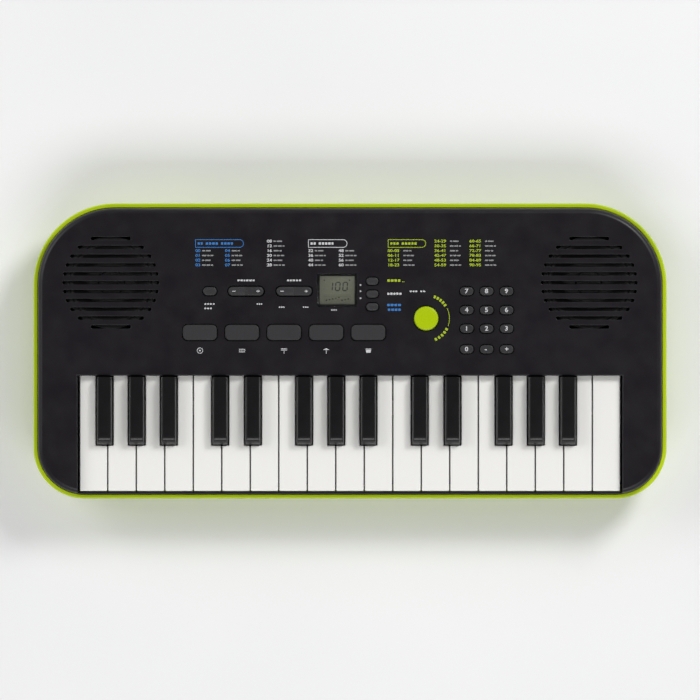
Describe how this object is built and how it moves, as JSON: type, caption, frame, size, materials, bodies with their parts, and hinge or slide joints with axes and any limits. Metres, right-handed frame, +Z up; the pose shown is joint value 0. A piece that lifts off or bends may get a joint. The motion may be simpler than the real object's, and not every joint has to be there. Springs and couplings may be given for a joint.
{
  "type": "mini keyboard synthesizer",
  "caption": "Small battery-powered keyboard: black panel over a lime tub, mini keys on a common rod, press controls, twin speakers, a small display and a battery bay.",
  "frame": {"origin": "centre of the footprint, on the surface that the feet stand on", "axes": "+X to the player's right along the keys, +Y to the rear with the sockets, +Z up out of the panel"},
  "size_m": [0.446, 0.208, 0.051],
  "materials": {
    "case_black": "fine satin grain, moulded",
    "case_lime": "satin, moulded in colour",
    "key_white": "polished",
    "key_black": "semi-gloss",
    "button_lime": "semi-gloss",
    "button_grey": "matt moulded rubber",
    "pad_rubber": "matt, fine grain",
    "window_clear": "clear, polished",
    "display_glass": "liquid-crystal panel, smooth",
    "circuit_board": "solder mask",
    "contact_rubber": "matt silicone",
    "chassis_plastic": "plain moulded",
    "steel": "nickel plated",
    "speaker_metal": "black, with a paper cone",
    "socket_plastic": "plain moulded"
  },
  "bodies": {
    "housing": {"bottom_case": "case_lime", "top_case": "case_black", "battery_contacts": "steel", "contact_rubber": "contact_rubber", "dc_socket": "socket_plastic", "headphone_socket": "socket_plastic", "display_module": "display_glass", "display_window": "window_clear", "key_chassis": "chassis_plastic", "key_contact_board": "circuit_board", "key_pivot_rod": "steel", "main_board": "circuit_board", "speaker_left": "speaker_metal", "speaker_right": "speaker_metal"},
    "battery_cover": {"battery_cover": "case_lime"},
    "piano_organ_button": {"piano_organ_button": "button_lime"},
    "drum_pad_1": {"drum_pad_1": "pad_rubber"},
    "drum_pad_2": {"drum_pad_2": "pad_rubber"},
    "drum_pad_3": {"drum_pad_3": "pad_rubber"},
    "drum_pad_4": {"drum_pad_4": "pad_rubber"},
    "drum_pad_5": {"drum_pad_5": "pad_rubber"},
    "power_button": {"power_button": "button_grey"},
    "volume_rocker": {"volume_rocker": "button_grey"},
    "tempo_rocker": {"tempo_rocker": "button_grey"},
    "tone_button": {"tone_button": "button_grey"},
    "rhythm_button": {"rhythm_button": "button_grey"},
    "song_button": {"song_button": "button_grey"},
    "number_keypad": {"number_keypad": "button_grey"},
    "key_f3": {"key_f3": "key_white"},
    "key_f3_sharp": {"key_f3_sharp": "key_black"},
    "key_g3": {"key_g3": "key_white"},
    "key_g3_sharp": {"key_g3_sharp": "key_black"},
    "key_a3": {"key_a3": "key_white"},
    "key_a3_sharp": {"key_a3_sharp": "key_black"},
    "key_b3": {"key_b3": "key_white"},
    "key_c4": {"key_c4": "key_white"},
    "key_c4_sharp": {"key_c4_sharp": "key_black"},
    "key_d4": {"key_d4": "key_white"},
    "key_d4_sharp": {"key_d4_sharp": "key_black"},
    "key_e4": {"key_e4": "key_white"},
    "key_f4": {"key_f4": "key_white"},
    "key_f4_sharp": {"key_f4_sharp": "key_black"},
    "key_g4": {"key_g4": "key_white"},
    "key_g4_sharp": {"key_g4_sharp": "key_black"},
    "key_a4": {"key_a4": "key_white"},
    "key_a4_sharp": {"key_a4_sharp": "key_black"},
    "key_b4": {"key_b4": "key_white"},
    "key_c5": {"key_c5": "key_white"},
    "key_c5_sharp": {"key_c5_sharp": "key_black"},
    "key_d5": {"key_d5": "key_white"},
    "key_d5_sharp": {"key_d5_sharp": "key_black"},
    "key_e5": {"key_e5": "key_white"},
    "key_f5": {"key_f5": "key_white"},
    "key_f5_sharp": {"key_f5_sharp": "key_black"},
    "key_g5": {"key_g5": "key_white"},
    "key_g5_sharp": {"key_g5_sharp": "key_black"},
    "key_a5": {"key_a5": "key_white"},
    "key_a5_sharp": {"key_a5_sharp": "key_black"},
    "key_b5": {"key_b5": "key_white"},
    "key_c6": {"key_c6": "key_white"}
  },
  "joints": [
    {"name": "battery_cover_swing", "type": "hinge", "parent": "housing", "child": "battery_cover", "pos_m": [0, 0.023, 0.0035], "axis": [-1, 0, 0], "range_deg": [0, 80]},
    {"name": "piano_organ_button_press", "type": "slide", "parent": "housing", "child": "piano_organ_button", "axis": [0, 0, -1], "range_m": [0, 0.001], "stiffness_N_per_m": 400, "springref_m": -0.001},
    {"name": "drum_pad_1_press", "type": "slide", "parent": "housing", "child": "drum_pad_1", "axis": [0, 0, -1], "range_m": [0, 0.001], "stiffness_N_per_m": 400, "springref_m": -0.001},
    {"name": "drum_pad_2_press", "type": "slide", "parent": "housing", "child": "drum_pad_2", "axis": [0, 0, -1], "range_m": [0, 0.001], "stiffness_N_per_m": 400, "springref_m": -0.001},
    {"name": "drum_pad_3_press", "type": "slide", "parent": "housing", "child": "drum_pad_3", "axis": [0, 0, -1], "range_m": [0, 0.001], "stiffness_N_per_m": 400, "springref_m": -0.001},
    {"name": "drum_pad_4_press", "type": "slide", "parent": "housing", "child": "drum_pad_4", "axis": [0, 0, -1], "range_m": [0, 0.001], "stiffness_N_per_m": 400, "springref_m": -0.001},
    {"name": "drum_pad_5_press", "type": "slide", "parent": "housing", "child": "drum_pad_5", "axis": [0, 0, -1], "range_m": [0, 0.001], "stiffness_N_per_m": 400, "springref_m": -0.001},
    {"name": "power_button_press", "type": "slide", "parent": "housing", "child": "power_button", "axis": [0, 0, -1], "range_m": [0, 0.001], "stiffness_N_per_m": 400, "springref_m": -0.001},
    {"name": "volume_rocker_tilt", "type": "hinge", "parent": "housing", "child": "volume_rocker", "pos_m": [-0.07305, 0.042, 0.0436], "axis": [0, 1, 0], "range_deg": [-4, 4], "stiffness_Nm_per_rad": 0.06},
    {"name": "tempo_rocker_tilt", "type": "hinge", "parent": "housing", "child": "tempo_rocker", "pos_m": [-0.03925, 0.042, 0.0436], "axis": [0, 1, 0], "range_deg": [-4, 4], "stiffness_Nm_per_rad": 0.06},
    {"name": "tone_button_press", "type": "slide", "parent": "housing", "child": "tone_button", "axis": [0, 0, -1], "range_m": [0, 0.001], "stiffness_N_per_m": 400, "springref_m": -0.001},
    {"name": "rhythm_button_press", "type": "slide", "parent": "housing", "child": "rhythm_button", "axis": [0, 0, -1], "range_m": [0, 0.001], "stiffness_N_per_m": 400, "springref_m": -0.001},
    {"name": "song_button_press", "type": "slide", "parent": "housing", "child": "song_button", "axis": [0, 0, -1], "range_m": [0, 0.001], "stiffness_N_per_m": 400, "springref_m": -0.001},
    {"name": "number_keypad_press", "type": "slide", "parent": "housing", "child": "number_keypad", "axis": [0, 0, -1], "range_m": [0, 0.001], "stiffness_N_per_m": 400, "springref_m": -0.001},
    {"name": "key_f3_press", "type": "hinge", "parent": "housing", "child": "key_f3", "pos_m": [-0.18036, 0.006, 0.0355], "axis": [1, 0, 0], "range_deg": [0, 2.7], "stiffness_Nm_per_rad": 0.64, "springref_deg": -1.72, "deforming": ["contact_rubber"]},
    {"name": "key_f3_sharp_press", "type": "hinge", "parent": "housing", "child": "key_f3_sharp", "pos_m": [-0.17254, 0.006, 0.0355], "axis": [1, 0, 0], "range_deg": [0, 2.7], "stiffness_Nm_per_rad": 0.64, "springref_deg": -1.72, "deforming": ["contact_rubber"]},
    {"name": "key_g3_press", "type": "hinge", "parent": "housing", "child": "key_g3", "pos_m": [-0.16032, 0.006, 0.0355], "axis": [1, 0, 0], "range_deg": [0, 2.7], "stiffness_Nm_per_rad": 0.64, "springref_deg": -1.72, "deforming": ["contact_rubber"]},
    {"name": "key_g3_sharp_press", "type": "hinge", "parent": "housing", "child": "key_g3_sharp", "pos_m": [-0.1499, 0.006, 0.0355], "axis": [1, 0, 0], "range_deg": [0, 2.7], "stiffness_Nm_per_rad": 0.64, "springref_deg": -1.72, "deforming": ["contact_rubber"]},
    {"name": "key_a3_press", "type": "hinge", "parent": "housing", "child": "key_a3", "pos_m": [-0.14028, 0.006, 0.0355], "axis": [1, 0, 0], "range_deg": [0, 2.7], "stiffness_Nm_per_rad": 0.64, "springref_deg": -1.72, "deforming": ["contact_rubber"]},
    {"name": "key_a3_sharp_press", "type": "hinge", "parent": "housing", "child": "key_a3_sharp", "pos_m": [-0.12736, 0.006, 0.0355], "axis": [1, 0, 0], "range_deg": [0, 2.7], "stiffness_Nm_per_rad": 0.64, "springref_deg": -1.72, "deforming": ["contact_rubber"]},
    {"name": "key_b3_press", "type": "hinge", "parent": "housing", "child": "key_b3", "pos_m": [-0.12024, 0.006, 0.0355], "axis": [1, 0, 0], "range_deg": [0, 2.7], "stiffness_Nm_per_rad": 0.64, "springref_deg": -1.72, "deforming": ["contact_rubber"]},
    {"name": "key_c4_press", "type": "hinge", "parent": "housing", "child": "key_c4", "pos_m": [-0.1002, 0.006, 0.0355], "axis": [1, 0, 0], "range_deg": [0, 2.7], "stiffness_Nm_per_rad": 0.64, "springref_deg": -1.72, "deforming": ["contact_rubber"]},
    {"name": "key_c4_sharp_press", "type": "hinge", "parent": "housing", "child": "key_c4_sharp", "pos_m": [-0.09128, 0.006, 0.0355], "axis": [1, 0, 0], "range_deg": [0, 2.7], "stiffness_Nm_per_rad": 0.64, "springref_deg": -1.72, "deforming": ["contact_rubber"]},
    {"name": "key_d4_press", "type": "hinge", "parent": "housing", "child": "key_d4", "pos_m": [-0.08016, 0.006, 0.0355], "axis": [1, 0, 0], "range_deg": [0, 2.7], "stiffness_Nm_per_rad": 0.64, "springref_deg": -1.72, "deforming": ["contact_rubber"]},
    {"name": "key_d4_sharp_press", "type": "hinge", "parent": "housing", "child": "key_d4_sharp", "pos_m": [-0.06824, 0.006, 0.0355], "axis": [1, 0, 0], "range_deg": [0, 2.7], "stiffness_Nm_per_rad": 0.64, "springref_deg": -1.72, "deforming": ["contact_rubber"]},
    {"name": "key_e4_press", "type": "hinge", "parent": "housing", "child": "key_e4", "pos_m": [-0.06012, 0.006, 0.0355], "axis": [1, 0, 0], "range_deg": [0, 2.7], "stiffness_Nm_per_rad": 0.64, "springref_deg": -1.72, "deforming": ["contact_rubber"]},
    {"name": "key_f4_press", "type": "hinge", "parent": "housing", "child": "key_f4", "pos_m": [-0.04008, 0.006, 0.0355], "axis": [1, 0, 0], "range_deg": [0, 2.7], "stiffness_Nm_per_rad": 0.64, "springref_deg": -1.72, "deforming": ["contact_rubber"]},
    {"name": "key_f4_sharp_press", "type": "hinge", "parent": "housing", "child": "key_f4_sharp", "pos_m": [-0.03226, 0.006, 0.0355], "axis": [1, 0, 0], "range_deg": [0, 2.7], "stiffness_Nm_per_rad": 0.64, "springref_deg": -1.72, "deforming": ["contact_rubber"]},
    {"name": "key_g4_press", "type": "hinge", "parent": "housing", "child": "key_g4", "pos_m": [-0.02004, 0.006, 0.0355], "axis": [1, 0, 0], "range_deg": [0, 2.7], "stiffness_Nm_per_rad": 0.64, "springref_deg": -1.72, "deforming": ["contact_rubber"]},
    {"name": "key_g4_sharp_press", "type": "hinge", "parent": "housing", "child": "key_g4_sharp", "pos_m": [-0.00962, 0.006, 0.0355], "axis": [1, 0, 0], "range_deg": [0, 2.7], "stiffness_Nm_per_rad": 0.64, "springref_deg": -1.72, "deforming": ["contact_rubber"]},
    {"name": "key_a4_press", "type": "hinge", "parent": "housing", "child": "key_a4", "pos_m": [0, 0.006, 0.0355], "axis": [1, 0, 0], "range_deg": [0, 2.7], "stiffness_Nm_per_rad": 0.64, "springref_deg": -1.72, "deforming": ["contact_rubber"]},
    {"name": "key_a4_sharp_press", "type": "hinge", "parent": "housing", "child": "key_a4_sharp", "pos_m": [0.01292, 0.006, 0.0355], "axis": [1, 0, 0], "range_deg": [0, 2.7], "stiffness_Nm_per_rad": 0.64, "springref_deg": -1.72, "deforming": ["contact_rubber"]},
    {"name": "key_b4_press", "type": "hinge", "parent": "housing", "child": "key_b4", "pos_m": [0.02004, 0.006, 0.0355], "axis": [1, 0, 0], "range_deg": [0, 2.7], "stiffness_Nm_per_rad": 0.64, "springref_deg": -1.72, "deforming": ["contact_rubber"]},
    {"name": "key_c5_press", "type": "hinge", "parent": "housing", "child": "key_c5", "pos_m": [0.04008, 0.006, 0.0355], "axis": [1, 0, 0], "range_deg": [0, 2.7], "stiffness_Nm_per_rad": 0.64, "springref_deg": -1.72, "deforming": ["contact_rubber"]},
    {"name": "key_c5_sharp_press", "type": "hinge", "parent": "housing", "child": "key_c5_sharp", "pos_m": [0.049, 0.006, 0.0355], "axis": [1, 0, 0], "range_deg": [0, 2.7], "stiffness_Nm_per_rad": 0.64, "springref_deg": -1.72, "deforming": ["contact_rubber"]},
    {"name": "key_d5_press", "type": "hinge", "parent": "housing", "child": "key_d5", "pos_m": [0.06012, 0.006, 0.0355], "axis": [1, 0, 0], "range_deg": [0, 2.7], "stiffness_Nm_per_rad": 0.64, "springref_deg": -1.72, "deforming": ["contact_rubber"]},
    {"name": "key_d5_sharp_press", "type": "hinge", "parent": "housing", "child": "key_d5_sharp", "pos_m": [0.07204, 0.006, 0.0355], "axis": [1, 0, 0], "range_deg": [0, 2.7], "stiffness_Nm_per_rad": 0.64, "springref_deg": -1.72, "deforming": ["contact_rubber"]},
    {"name": "key_e5_press", "type": "hinge", "parent": "housing", "child": "key_e5", "pos_m": [0.08016, 0.006, 0.0355], "axis": [1, 0, 0], "range_deg": [0, 2.7], "stiffness_Nm_per_rad": 0.64, "springref_deg": -1.72, "deforming": ["contact_rubber"]},
    {"name": "key_f5_press", "type": "hinge", "parent": "housing", "child": "key_f5", "pos_m": [0.1002, 0.006, 0.0355], "axis": [1, 0, 0], "range_deg": [0, 2.7], "stiffness_Nm_per_rad": 0.64, "springref_deg": -1.72, "deforming": ["contact_rubber"]},
    {"name": "key_f5_sharp_press", "type": "hinge", "parent": "housing", "child": "key_f5_sharp", "pos_m": [0.10802, 0.006, 0.0355], "axis": [1, 0, 0], "range_deg": [0, 2.7], "stiffness_Nm_per_rad": 0.64, "springref_deg": -1.72, "deforming": ["contact_rubber"]},
    {"name": "key_g5_press", "type": "hinge", "parent": "housing", "child": "key_g5", "pos_m": [0.12024, 0.006, 0.0355], "axis": [1, 0, 0], "range_deg": [0, 2.7], "stiffness_Nm_per_rad": 0.64, "springref_deg": -1.72, "deforming": ["contact_rubber"]},
    {"name": "key_g5_sharp_press", "type": "hinge", "parent": "housing", "child": "key_g5_sharp", "pos_m": [0.13066, 0.006, 0.0355], "axis": [1, 0, 0], "range_deg": [0, 2.7], "stiffness_Nm_per_rad": 0.64, "springref_deg": -1.72, "deforming": ["contact_rubber"]},
    {"name": "key_a5_press", "type": "hinge", "parent": "housing", "child": "key_a5", "pos_m": [0.14028, 0.006, 0.0355], "axis": [1, 0, 0], "range_deg": [0, 2.7], "stiffness_Nm_per_rad": 0.64, "springref_deg": -1.72, "deforming": ["contact_rubber"]},
    {"name": "key_a5_sharp_press", "type": "hinge", "parent": "housing", "child": "key_a5_sharp", "pos_m": [0.1532, 0.006, 0.0355], "axis": [1, 0, 0], "range_deg": [0, 2.7], "stiffness_Nm_per_rad": 0.64, "springref_deg": -1.72, "deforming": ["contact_rubber"]},
    {"name": "key_b5_press", "type": "hinge", "parent": "housing", "child": "key_b5", "pos_m": [0.16032, 0.006, 0.0355], "axis": [1, 0, 0], "range_deg": [0, 2.7], "stiffness_Nm_per_rad": 0.64, "springref_deg": -1.72, "deforming": ["contact_rubber"]},
    {"name": "key_c6_press", "type": "hinge", "parent": "housing", "child": "key_c6", "pos_m": [0.18036, 0.006, 0.0355], "axis": [1, 0, 0], "range_deg": [0, 2.7], "stiffness_Nm_per_rad": 0.64, "springref_deg": -1.72, "deforming": ["contact_rubber"]}
  ]
}
